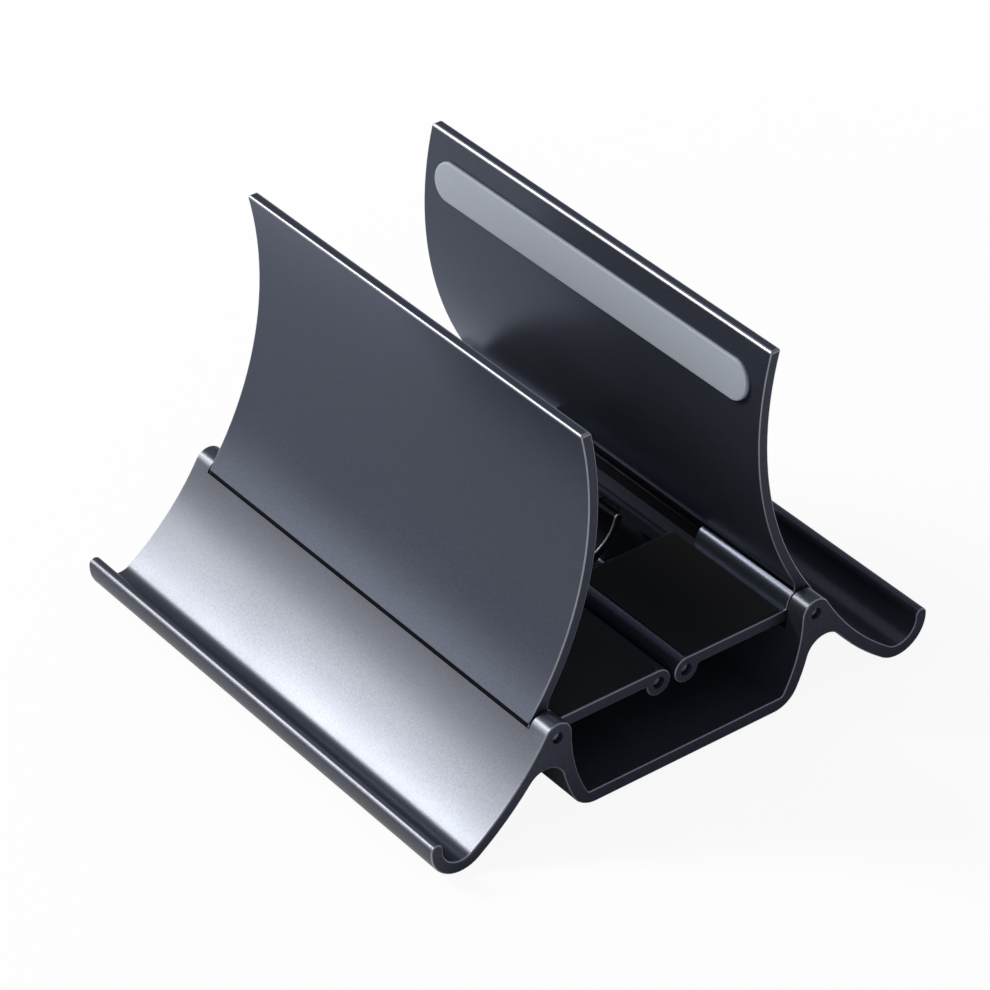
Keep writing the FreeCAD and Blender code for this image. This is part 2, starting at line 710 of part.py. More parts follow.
for item in doc.Objects:
    if "Invalid" in item.State or "Error" in item.State:
        problems.append(item.Name + " is " + ", ".join(item.State))
for item in parts:
    if item.Shape.isNull() or not item.Shape.isValid():
        problems.append(item.Label + " has no valid shape")
    elif len(item.Shape.Solids) != 1:
        problems.append(f"{item.Label} has {len(item.Shape.Solids)} solids")
if problems:
    raise RuntimeError("; ".join(problems))

os.makedirs("parts", exist_ok=True)
for item in parts:
    item.Shape.exportStep(f"parts/{item.Label}.step")
    print(item.Label, round(item.Shape.Volume, 1), item.Placement.Base)
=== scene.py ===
"""Looks, light and camera of a vertical laptop stand: two hinged aluminium clamps on one long extrusion."""
import logging
import math
from collections.abc import Callable
from dataclasses import dataclass, field
from enum import Enum, IntEnum

import bmesh
import bpy
import numpy as np
from mathutils import Matrix, Vector


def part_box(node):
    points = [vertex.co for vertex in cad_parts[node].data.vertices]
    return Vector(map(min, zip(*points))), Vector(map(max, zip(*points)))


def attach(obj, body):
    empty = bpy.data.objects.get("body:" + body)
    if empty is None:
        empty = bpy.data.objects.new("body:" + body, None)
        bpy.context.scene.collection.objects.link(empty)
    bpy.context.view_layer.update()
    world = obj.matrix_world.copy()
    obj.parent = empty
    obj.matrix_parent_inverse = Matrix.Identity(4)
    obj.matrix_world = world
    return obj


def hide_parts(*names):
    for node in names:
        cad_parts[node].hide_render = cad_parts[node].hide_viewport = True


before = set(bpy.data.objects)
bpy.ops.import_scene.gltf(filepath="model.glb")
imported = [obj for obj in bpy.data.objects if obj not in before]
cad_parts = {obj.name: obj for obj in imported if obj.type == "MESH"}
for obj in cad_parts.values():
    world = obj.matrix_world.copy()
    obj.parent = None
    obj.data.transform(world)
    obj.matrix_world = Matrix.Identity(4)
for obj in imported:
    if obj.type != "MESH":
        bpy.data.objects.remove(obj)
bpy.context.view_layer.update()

Colour = tuple[float, float, float]
Refinement = Callable[[bmesh.types.BMesh], None] | None

# A millimetre in metres, and how near two points or levels lie when they count as one.
MM = 0.001
MERGED = 0.0005 * MM
TOUCHING = 0.001 * MM
SAME_PLANE = 0.01 * MM

LOG = logging.getLogger("laptop_stand")


class Side(Enum):
    """The two mirrored clamps, with the sign of their X."""

    LEFT = -1
    RIGHT = 1

    @property
    def prefix(self) -> str:
        """The word that starts the names of this side's nodes."""
        return self.name.lower()


class Bed(Enum):
    """What a soft strip lies on."""

    FLAP = "flap"
    WING = "wing"
    FLOOR = "floor"


class Skin(IntEnum):
    """The material slots of a finished extrusion."""

    LONG_FACE = 0
    ARRIS = 1
    END_FACE = 2
    # The slot of near-black painted shade, put where the metal lies in shade.
    MILLED = 3


class Recipe:
    """A procedural material under construction: nodes on Object coordinates that feed one shader."""

    def __init__(self, name: str) -> None:
        """Starts an empty node tree with a shader and its output.

        Args:
            name: The material's name.
        """
        self.material = bpy.data.materials.new(name)
        self.material.use_nodes = True
        self.tree = self.material.node_tree
        self.tree.nodes.clear()
        self.shader = self.add("ShaderNodeBsdfPrincipled")
        output = self.add("ShaderNodeOutputMaterial")
        self.join(self.shader.outputs["BSDF"], output.inputs["Surface"])
        self.place = self.add("ShaderNodeTexCoord").outputs["Object"]

    def add(self, kind: str) -> bpy.types.Node:
        """Adds one node.

        Args:
            kind: The node's type.

        Returns:
            The new node.
        """
        return self.tree.nodes.new(kind)

    def join(self, start: bpy.types.NodeSocket, end: bpy.types.NodeSocket) -> None:
        """Joins an output to an input.

        Args:
            start: The output that gives the value.
            end: The input that takes it.
        """
        self.tree.links.new(start, end)

    def constant(self, **values: float | tuple) -> None:
        """Sets numbers that are the same all over the surface on the shader itself.

        Args:
            values: Socket names with underscores for spaces, and their values.
        """
        for name, value in values.items():
            socket = self.shader.inputs[name.replace("_", " ")]
            socket.default_value = (*value, 1.0) if isinstance(value, tuple) else value

    def noise(self, grain: float, detail: float, stretch: Colour = (1.0, 1.0, 1.0)) -> bpy.types.NodeSocket:
        """Adds a noise pattern.

        Args:
            grain: The size of its features in metres.
            detail: How many finer layers it has.
            stretch: Scale of the pattern along X, Y and Z.

        Returns:
            The noise's value, about 0 to 1.
        """
        mapping = self.add("ShaderNodeMapping")
        mapping.inputs["Scale"].default_value = stretch
        self.join(self.place, mapping.inputs["Vector"])
        noise = self.add("ShaderNodeTexNoise")
        noise.inputs["Scale"].default_value = 1.0 / grain
        noise.inputs["Detail"].default_value = detail
        self.join(mapping.outputs["Vector"], noise.inputs["Vector"])
        return noise.outputs["Fac"]

    def ramp(self, value: bpy.types.NodeSocket, low: float, high: float,
             near: float = 0.3, far: float = 0.7) -> bpy.types.NodeSocket:
        """Turns a pattern's value into a range of numbers.

        Args:
            value: The pattern.
            low: The result where the pattern is at near or below.
            high: The result where the pattern is at far or above.
            near: The pattern's value that gives low.
            far: The pattern's value that gives high.

        Returns:
            The new number.
        """
        remap = self.add("ShaderNodeMapRange")
        remap.inputs["From Min"].default_value = near
        remap.inputs["From Max"].default_value = far
        remap.inputs["To Min"].default_value = low
        remap.inputs["To Max"].default_value = high
        self.join(value, remap.inputs["Value"])
        return remap.outputs["Result"]

    def combine(self, operation: str, first: bpy.types.NodeSocket,
                second: bpy.types.NodeSocket) -> bpy.types.NodeSocket:
        """Works out one value from two.

        Args:
            operation: What is done with them, such as MULTIPLY or MAXIMUM.
            first: One value.
            second: The other value.

        Returns:
            The result.
        """
        node = self.add("ShaderNodeMath")
        node.operation = operation
        self.join(first, node.inputs[0])
        self.join(second, node.inputs[1])
        return node.outputs[0]

    def tint(self, value: bpy.types.NodeSocket, dark: Colour, light: Colour) -> None:
        """Colours the surface between two tones.

        Args:
            value: A pattern from 0 to 1 that picks the tone.
            dark: The tone at 0.
            light: The tone at 1.
        """
        mix = self.add("ShaderNodeMix")
        mix.data_type = "RGBA"
        mix.inputs["A"].default_value = (*dark, 1.0)
        mix.inputs["B"].default_value = (*light, 1.0)
        self.join(value, mix.inputs["Factor"])
        self.join(mix.outputs["Result"], self.shader.inputs["Base Color"])

    def mottle(self, value: bpy.types.NodeSocket, tone: Colour, darkest: float, lightest: float) -> None:
        """Colours the surface a little darker and a little lighter than one tone.

        Args:
            value: The pattern.
            tone: The tone.
            darkest: What the tone is multiplied by where the pattern is low.
            lightest: What it is multiplied by where the pattern is high.
        """
        self.tint(self.ramp(value, 0.0, 1.0), scaled(tone, darkest), scaled(tone, lightest))

    def roughen(self, value: bpy.types.NodeSocket, roughness: float, swing: float,
                near: float = 0.3, far: float = 0.7) -> None:
        """Lets the roughness rise and fall a little.

        Args:
            value: The pattern.
            roughness: The roughness half way.
            swing: How far it goes down and up from there.
            near: The pattern's value that gives the lowest roughness.
            far: The pattern's value that gives the highest.
        """
        self.join(self.ramp(value, roughness - swing, roughness + swing, near, far),
                  self.shader.inputs["Roughness"])

    def emboss(self, value: bpy.types.NodeSocket, strength: float, height: float) -> None:
        """Raises the surface by a pattern.

        Args:
            value: The pattern.
            strength: How much of the relief shows.
            height: The relief's height in metres.
        """
        bump = self.add("ShaderNodeBump")
        bump.inputs["Strength"].default_value = strength
        bump.inputs["Distance"].default_value = height
        self.join(value, bump.inputs["Height"])
        self.join(bump.outputs["Normal"], self.shader.inputs["Normal"])


def scaled(colour: Colour, factor: float) -> Colour:
    """Makes a colour lighter or darker.

    Args:
        colour: Linear red, green and blue.
        factor: What each is multiplied by.

    Returns:
        The new colour.
    """
    return tuple(min(1.0, channel * factor) for channel in colour)


@dataclass(frozen=True)
class BlastedAluminium:
    """Bead-blasted dark anodised aluminium: a fine even grain, its reflections drawn out a little."""

    name: str = "blasted_aluminium"
    tone: Colour = (0.052, 0.058, 0.077)
    roughness: float = 0.29
    metal: float = 0.5
    drawn: float = 0.3
    rim: Colour = (0.7, 0.7, 0.7)
    drawn_turn: float = 0.25
    grain: float = 0.45 * MM
    darkest: float = 0.86
    lightest: float = 1.16
    relief: float = 0.016 * MM
    relief_share: float = 0.5
    haze: float = 34.0 * MM
    swing: float = 0.04

    def material(self) -> bpy.types.Material:
        """Builds the finish.

        Returns:
            The material.
        """
        recipe = Recipe(self.name)
        recipe.constant(Metallic=self.metal, Anisotropic=self.drawn, Anisotropic_Rotation=self.drawn_turn,
                        Specular_Tint=self.rim)
        if self.drawn > 0.0:
            along = recipe.add("ShaderNodeCombineXYZ")
            along.inputs["Y"].default_value = 1.0
            recipe.join(along.outputs["Vector"], recipe.shader.inputs["Tangent"])
        speck = recipe.noise(self.grain, 3.0)
        haze = recipe.noise(self.haze, 2.0)
        recipe.mottle(speck, self.tone, self.darkest, self.lightest)
        recipe.roughen(haze, self.roughness, self.swing, 0.0, 1.0)
        recipe.emboss(speck, self.relief_share, self.relief)
        return recipe.material


@dataclass(frozen=True)
class CutEdgeAndHighlight:
    """The machined bevel along an end or a top of an extrusion: bare metal, whose lighter tone also paints
    a highlight along the edges.
    """

    name: str = "cut_edge_and_highlight"
    tone: Colour = (0.30, 0.31, 0.34)
    roughness: float = 0.42
    grain: float = 0.25 * MM
    darkest: float = 0.85
    lightest: float = 1.15
    swing: float = 0.04

    def material(self) -> bpy.types.Material:
        """Builds the finish.

        Returns:
            The material.
        """
        recipe = Recipe(self.name)
        recipe.constant(Metallic=1.0)
        marks = recipe.noise(self.grain, 2.0)
        recipe.mottle(marks, self.tone, self.darkest, self.lightest)
        recipe.roughen(marks, self.roughness, self.swing)
        return recipe.material


@dataclass(frozen=True)
class GroundSteel:
    """Ground steel of the pins, rods and springs, with fine rings round the axis."""

    name: str = "ground_steel"
    tone: Colour = (0.16, 0.165, 0.18)
    roughness: float = 0.25
    grain: float = 0.5 * MM
    stretch: Colour = (0.15, 3.0, 0.15)
    darkest: float = 0.85
    lightest: float = 1.1
    swing: float = 0.06
    relief: float = 0.004 * MM
    relief_share: float = 0.2

    def material(self) -> bpy.types.Material:
        """Builds the finish.

        Returns:
            The material.
        """
        recipe = Recipe(self.name)
        recipe.constant(Metallic=1.0)
        rings = recipe.noise(self.grain, 2.0, self.stretch)
        recipe.mottle(rings, self.tone, self.darkest, self.lightest)
        recipe.roughen(rings, self.roughness, self.swing)
        recipe.emboss(rings, self.relief_share, self.relief)
        return recipe.material


@dataclass(frozen=True)
class Silicone:
    """Matte silicone rubber with a faint moulded texture and a soft sheen."""

    name: str
    tone: Colour
    roughness: float = 0.62
    gloss: float = 0.35
    sheen: float = 0.04
    sheen_roughness: float = 0.5
    grain: float = 0.22 * MM
    darkest: float = 0.93
    lightest: float = 1.07
    relief: float = 0.01 * MM
    relief_share: float = 0.35
    cloud: float = 9.0 * MM
    swing: float = 0.05

    def material(self) -> bpy.types.Material:
        """Builds the finish.

        Returns:
            The material.
        """
        recipe = Recipe(self.name)
        recipe.constant(Metallic=0.0, Specular_IOR_Level=self.gloss, Sheen_Weight=self.sheen,
                        Sheen_Roughness=self.sheen_roughness)
        skin = recipe.noise(self.grain, 3.0)
        cloud = recipe.noise(self.cloud, 2.0)
        recipe.mottle(skin, self.tone, self.darkest, self.lightest)
        recipe.roughen(cloud, self.roughness, self.swing)
        recipe.emboss(skin, self.relief_share, self.relief)
        return recipe.material


@dataclass(frozen=True)
class Nylon:
    """Black moulded nylon of the bushes, slightly mottled."""

    name: str = "black_nylon"
    tone: Colour = (0.020, 0.020, 0.022)
    roughness: float = 0.485
    gloss: float = 0.5
    grain: float = 0.9 * MM
    darkest: float = 0.8
    lightest: float = 1.3
    swing: float = 0.065
    relief: float = 0.008 * MM
    relief_share: float = 0.2

    def material(self) -> bpy.types.Material:
        """Builds the finish.

        Returns:
            The material.
        """
        recipe = Recipe(self.name)
        recipe.constant(Metallic=0.0, Specular_IOR_Level=self.gloss)
        cloud = recipe.noise(self.grain, 2.0)
        recipe.mottle(cloud, self.tone, self.darkest, self.lightest)
        recipe.roughen(cloud, self.roughness, self.swing)
        recipe.emboss(cloud, self.relief_share, self.relief)
        return recipe.material


@dataclass
class Palette:
    """Every finish of the stand, built once."""

    aluminium: bpy.types.Material = field(default_factory=lambda: BlastedAluminium().material())
    # A darker copy of the base's aluminium for the clamps, which are of the same metal: the darker tone is
    # painted shade.
    shaded_clamp_aluminium: bpy.types.Material = field(default_factory=lambda: BlastedAluminium(
        "shaded_clamp_aluminium", (0.042, 0.048, 0.067), rim=(0.56, 0.62, 0.80)).material())
    sawn_end: bpy.types.Material = field(default_factory=lambda: BlastedAluminium(
        "sawn_end", (0.052, 0.056, 0.078), roughness=0.45, metal=0.8, drawn=0.0).material())
    # Near-black painted shade: put on the gap in the clamp's ridge, on the barrel under the wing and on the
    # cradle's long faces, where the same aluminium lies in shade.
    painted_shade: bpy.types.Material = field(default_factory=lambda: BlastedAluminium(
        "painted_shade", (0.006, 0.006, 0.009), roughness=0.5, metal=0.7, drawn=0.0,
        rim=(0.1, 0.1, 0.1)).material())
    edge: bpy.types.Material = field(default_factory=lambda: CutEdgeAndHighlight().material())
    # A near-white copy of the bevel's metal: painted highlight along the cradle's edges.
    painted_highlight_edge: bpy.types.Material = field(default_factory=lambda: CutEdgeAndHighlight(
        "painted_highlight_edge", (0.85, 0.86, 0.90), roughness=0.35).material())
    steel: bpy.types.Material = field(default_factory=lambda: GroundSteel().material())
    grey_silicone: bpy.types.Material = field(default_factory=lambda: Silicone(
        "grey_silicone_skin", (0.315, 0.345, 0.405)).material())
    black_silicone: bpy.types.Material = field(default_factory=lambda: Silicone(
        "black_silicone_skin", (0.007, 0.0075, 0.009), gloss=0.2).material())
    nylon: bpy.types.Material = field(default_factory=lambda: Nylon().material())


def add_piece(name: str, mesh: bpy.types.Mesh, body: str) -> bpy.types.Object:
    """Adds a piece to the scene at the origin, riding on a CAD body.

    Args:
        name: The piece's name.
        mesh: Its mesh, with its place in its vertices.
        body: The CAD body that carries it.

    Returns:
        The new object.
    """
    piece = bpy.data.objects.new(name, mesh)
    bpy.context.scene.collection.objects.link(piece)
    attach(piece, body)
    LOG.info("%s: %d faces, rides on %s", name, len(mesh.polygons), body)
    return piece


def dress(node: str, material: bpy.types.Material) -> None:
    """Gives a CAD node a finish.

    Args:
        node: The CAD node.
        material: Its new material.
    """
    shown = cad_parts[node]
    shown.data.materials.clear()
    shown.data.materials.append(material)
    LOG.info("%s: the CAD solid, in %s", node, material.name)


def surface_mesh(name: str, points: np.ndarray, material: bpy.types.Material) -> bpy.types.Mesh:
    """Makes a closed mesh of a grid of points: rows run from pole to pole, columns go round.

    Each face joins two neighbours in a row with the two beside them in the next row. Points that fall
    together, as at the poles, are merged, and the faces are then turned outwards.

    Args:
        name: The mesh's name.
        points: The grid, rows by columns by three.
        material: Its material.

    Returns:
        The mesh.
    """
    rows, columns, _ = points.shape
    row, column = np.meshgrid(np.arange(rows - 1), np.arange(columns), indexing="ij")
    beside = (column + 1) % columns
    faces = np.stack([row * columns + column, row * columns + beside,
                      (row + 1) * columns + beside, (row + 1) * columns + column], axis=-1)
    mesh = bpy.data.meshes.new(name)
    mesh.from_pydata(points.reshape(-1, 3).tolist(), [], faces.reshape(-1, 4).tolist())
    edit = bmesh.new()
    edit.from_mesh(mesh)
    bmesh.ops.remove_doubles(edit, verts=edit.verts, dist=MERGED)
    bmesh.ops.recalc_face_normals(edit, faces=edit.faces)
    edit.to_mesh(mesh)
    edit.free()
    mesh.materials.append(material)
    mesh.shade_smooth()
    return mesh


@dataclass
class EndMill:
    """Finishes an extrusion: a copy of its solid with its arrises broken by a small bevel.

    The bevel has the top share of its width along the top, and the end share of it round the two ends.
    """

    palette: Palette
    bevel: float = 0.6 * MM
    top_share: float = 1.0
    end_share: float = 0.45
    steps: int = 2
    sharp_from: float = 32.0
    flat_within: float = 0.15
    end_facing: float = 0.99
    bore_play: float = 0.3 * MM

    def extrusion(self, node: str, body: str, skin: bpy.types.Material, holes: tuple[str, ...] = (),
                  refine: Refinement = None) -> bpy.types.Object:
        """Makes the finished piece that stands for a CAD node.

        Args:
            node: The CAD node.
            body: The body that carries it.
            skin: The finish of its long faces.
            holes: Pins whose holes keep their sharp rims.
            refine: A change to the copy's form before it is finished.

        Returns:
            The finished piece.
        """
        mesh = self.copied(node, refine)
        self.paint(mesh, skin)
        piece = add_piece(node + "_milled", mesh, body)
        self.mark_arrises(mesh, holes)
        arris = piece.modifiers.new("arris", "BEVEL")
        arris.width = self.bevel
        arris.segments = self.steps
        arris.limit_method = "WEIGHT"
        arris.use_clamp_overlap = False
        arris.material = Skin.ARRIS
        arris.harden_normals = True
        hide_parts(node)
        return piece

    def copied(self, node: str, refine: Refinement) -> bpy.types.Mesh:
        """Copies a CAD node's mesh.

        The copy's doubles are merged and its coplanar triangles joined, so that the bevel and the shading
        follow the real edges. The marks for shading that came with it don't fit it any more and go.

        Args:
            node: The CAD node.
            refine: A change to the copy's form before its triangles are joined.

        Returns:
            The copy, smooth but for its real edges.
        """
        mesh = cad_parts[node].data.copy()
        mesh.name = node + "_milled"
        edit = bmesh.new()
        edit.from_mesh(mesh)
        bmesh.ops.remove_doubles(edit, verts=edit.verts, dist=TOUCHING)
        if refine:
            refine(edit)
        bmesh.ops.dissolve_limit(edit, verts=edit.verts, edges=edit.edges,
                                 angle_limit=math.radians(self.flat_within))
        edit.to_mesh(mesh)
        edit.free()
        for layer in ("custom_normal", "sharp_edge", "sharp_face"):
            if layer in mesh.attributes:
                mesh.attributes.remove(mesh.attributes[layer])
        mesh.shade_smooth()
        mesh.set_sharp_from_angle(angle=math.radians(self.sharp_from))
        return mesh

    def paint(self, mesh: bpy.types.Mesh, skin: bpy.types.Material) -> None:
        """Gives a copied solid its finishes: one on its long faces and the sawn one on its two ends.

        Args:
            mesh: The copied solid.
            skin: The finish of its long faces.
        """
        mesh.materials.clear()
        # The last slot is the near-black painted shade, which the clamp puts where its metal lies in shade.
        for finish in (skin, self.palette.edge, self.palette.sawn_end, self.palette.painted_shade):
            mesh.materials.append(finish)
        normal = np.empty(3 * len(mesh.polygons), np.float32)
        mesh.polygons.foreach_get("normal", normal)
        facing = np.abs(normal.reshape(-1, 3)[:, 1])
        index = np.where(facing > self.end_facing, Skin.END_FACE, Skin.LONG_FACE)
        mesh.polygons.foreach_set("material_index", index.astype(np.int32))

    def mark_arrises(self, mesh: bpy.types.Mesh, holes: tuple[str, ...]) -> None:
        """Marks the edges that the bevel takes: those round the two ends and along the top.

        An edge counts where both its ends lie in one of the mesh's two end planes, or at its full height,
        and the two faces beside it meet at a real corner. Its weight is its share of the bevel's width.

        Args:
            mesh: The copied solid.
            holes: Pins whose holes keep their sharp rims.
        """
        bores = [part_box(pin) for pin in holes]

        def round_a_pin(place: Vector) -> bool:
            """Tells whether a place lies on the rim of a pin's hole."""
            play = self.bore_play
            return any(low.x - play < place.x < high.x + play and low.z - play < place.z < high.z + play
                       for low, high in bores)

        edit = bmesh.new()
        edit.from_mesh(mesh)
        weight = edit.edges.layers.float.new("bevel_weight_edge")
        along = [vertex.co.y for vertex in edit.verts]
        top = max(vertex.co.z for vertex in edit.verts)
        planes = (("y", min(along), self.end_share), ("y", max(along), self.end_share),
                  ("z", top, self.top_share))
        for edge in edit.edges:
            sharp = len(edge.link_faces) == 2 and edge.calc_face_angle() > math.radians(self.sharp_from)
            share = max((part for axis, level, part in planes
                         if all(abs(getattr(end.co, axis) - level) < SAME_PLANE for end in edge.verts)),
                        default=0.0)
            spared = all(round_a_pin(vertex.co) for vertex in edge.verts)
            edge[weight] = share if sharp and not spared else 0.0
        edit.to_mesh(mesh)
        edit.free()


@dataclass
class TurnedPin:
    """A straight steel pin with domed ends, turned about an axis along Y."""

    palette: Palette
    dome: float = 0.45 * MM
    rounding: int = 8
    around: int = 40

    def along(self, node: str, body: str) -> bpy.types.Object:
        """Makes the pin that stands for a CAD node, in that node's box.

        The surface is a profile carried round the axis: over each dome the radius grows as the sine of an
        angle and the reach falls as its cosine, with one straight wall between the two domes.

        Args:
            node: The CAD node.
            body: The body that carries it.

        Returns:
            The finished piece.
        """
        low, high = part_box(node)
        radius = (high.x - low.x) / 2
        half = (high.y - low.y) / 2
        turn = np.linspace(0.0, math.pi / 2, self.rounding)
        cap_radius = radius * np.sin(turn)
        cap_reach = half - self.dome * (1.0 - np.cos(turn))
        rim = np.concatenate([cap_radius, cap_radius[::-1]])
        reach = np.concatenate([cap_reach, -cap_reach[::-1]])
        angle = np.linspace(0.0, 2.0 * math.pi, self.around, endpoint=False)
        middle = (low + high) / 2
        points = np.stack([middle.x + rim[:, None] * np.cos(angle)[None, :],
                           middle.y + reach[:, None] + 0.0 * angle[None, :],
                           middle.z + rim[:, None] * np.sin(angle)[None, :]], axis=-1)
        mesh = surface_mesh(node + "_turned", points, self.palette.steel)
        piece = add_piece(node + "_turned", mesh, body)
        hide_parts(node)
        return piece


@dataclass
class SoftStrip:
    """A moulded silicone strip: flat underneath, rounded at its rim and slightly crowned."""

    finish: bpy.types.Material
    slot: str
    bed: Bed
    corner: float
    rim: float = 0.4 * MM
    crown: float = 0.08 * MM
    per_corner: int = 14
    per_side: int = 24
    rim_steps: int = 7
    crown_steps: int = 10
    wing_thickness: float = 1.0 * MM
    wing_radius: float = 86.8 * MM
    wing_centre: Vector = field(default_factory=lambda: Vector((108.80 * MM, 0.0, 74.5 * MM)))

    def outline(self, length: float, width: float, inset: np.ndarray) -> tuple[np.ndarray, np.ndarray]:
        """Works out rounded rectangles, one for each inset.

        A corner is an arc about its own centre, and the sides are the straight lines between the arcs. An
        inset brings every side in by the same length and makes the arcs smaller, down to nothing.

        Args:
            length: The outermost rectangle along Y.
            width: The outermost rectangle across.
            inset: How far each rectangle lies inside the outermost.

        Returns:
            Places across and along, rows by columns.
        """
        inset = inset[:, None]
        arc = np.maximum(self.corner - inset, 0.0)
        across = np.maximum(width / 2 - inset - arc, 0.0)
        along = np.maximum(length / 2 - inset - arc, 0.0)
        share = np.linspace(-1.0, 1.0, self.per_side)[None, 1:-1]
        quarter = np.linspace(0.0, math.pi / 2, self.per_corner)[None, :]
        blank = np.zeros_like(share)
        right = across + arc * np.cos(quarter), along + arc * np.sin(quarter)
        left = -across - arc * np.sin(quarter), along + arc * np.cos(quarter)
        top = -across * share + blank, along + arc + blank
        side = -across - arc + blank, -along * share + blank
        half_x = np.concatenate([right[0], top[0], left[0], side[0]], axis=1)
        half_y = np.concatenate([right[1], top[1], left[1], side[1]], axis=1)
        return np.concatenate([half_x, -half_x], axis=1), np.concatenate([half_y, -half_y], axis=1)

    def heights(self, width: float, thickness: float) -> tuple[np.ndarray, np.ndarray]:
        """Works out how the strip's section goes from the middle of its underside to the middle of its top.

        Over a short straight wall the rim is a quarter of a circle. Inside it the height grows towards the
        middle as one less the square of the distance from there.

        Args:
            width: The strip across.
            thickness: The strip's height.

        Returns:
            The insets and the heights, from one middle to the other.
        """
        half = width / 2
        shoulder = thickness - self.crown
        turn = np.linspace(0.0, math.pi / 2, self.rim_steps)
        rim_inset = self.rim * (1.0 - np.cos(turn))
        rim_height = shoulder - self.rim + self.rim * np.sin(turn)
        inner = np.linspace(self.rim, half, self.crown_steps)[1:]
        inner_height = shoulder + self.crown * (1.0 - ((half - inner) / (half - self.rim)) ** 2)
        under = np.array([half, half / 2, 0.0])
        return (np.concatenate([under, rim_inset, inner]),
                np.concatenate([np.zeros_like(under), rim_height, inner_height]))

    def place(self, side: Side, low: Vector, high: Vector, across: np.ndarray, along: np.ndarray,
              height: np.ndarray) -> np.ndarray:
        """Lays the strip on its bed.

        On the wing, a point's height is added to the radius of the wing's inner face, and its X follows
        from the circle at its own Z. On the flap it is added upwards, and under the floor downwards.

        Args:
            side: The side of the stand.
            low: The lowest corner of the CAD strip.
            high: Its highest corner.
            across: Places across the strip.
            along: Places along it.
            height: Heights above the bed.

        Returns:
            The points, rows by columns by three.
        """
        middle = (low + high) / 2
        if self.bed is Bed.WING:
            level = middle.z + across
            reach = np.sqrt((self.wing_radius + height) ** 2 - (level - self.wing_centre.z) ** 2)
            return np.stack([side.value * (self.wing_centre.x - reach), middle.y + along, level], axis=-1)
        level = low.z + height if self.bed is Bed.FLAP else high.z - height
        return np.stack([middle.x + across, middle.y + along, level], axis=-1)

    def lay(self, node: str, side: Side, body: str) -> bpy.types.Object:
        """Makes the strip that stands for a CAD node.

        Args:
            node: The CAD node.
            side: The side of the stand.
            body: The body that carries it.

        Returns:
            The finished piece.
        """
        low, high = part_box(node)
        size = high - low
        width, thickness = (size.z, self.wing_thickness) if self.bed is Bed.WING else (size.x, size.z)
        inset, height = self.heights(width, thickness)
        across, along = self.outline(size.y, width, inset)
        points = self.place(side, low, high, across, along, height[:, None] + 0.0 * across)
        mesh = surface_mesh(node + "_moulded", points, self.finish)
        piece = add_piece(node + "_moulded", mesh, body)
        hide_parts(node)
        return piece


@dataclass
class Base:
    """The long base extrusion with its hinge pins, return springs and foot strips."""

    palette: Palette
    body: str = "base"
    foot_corner: float = 3.9 * MM

    def build(self) -> None:
        """Builds and dresses every piece of the base."""
        pins = tuple(side.prefix + "_hinge_pin" for side in Side)
        EndMill(self.palette).extrusion("base", self.body, self.palette.aluminium, pins)
        foot = SoftStrip(self.palette.black_silicone, "black_silicone", Bed.FLOOR, self.foot_corner)
        for side in Side:
            TurnedPin(self.palette).along(side.prefix + "_hinge_pin", self.body)
            foot.lay(side.prefix + "_foot_strip", side, self.body)
            dress(side.prefix + "_return_spring", self.palette.steel)


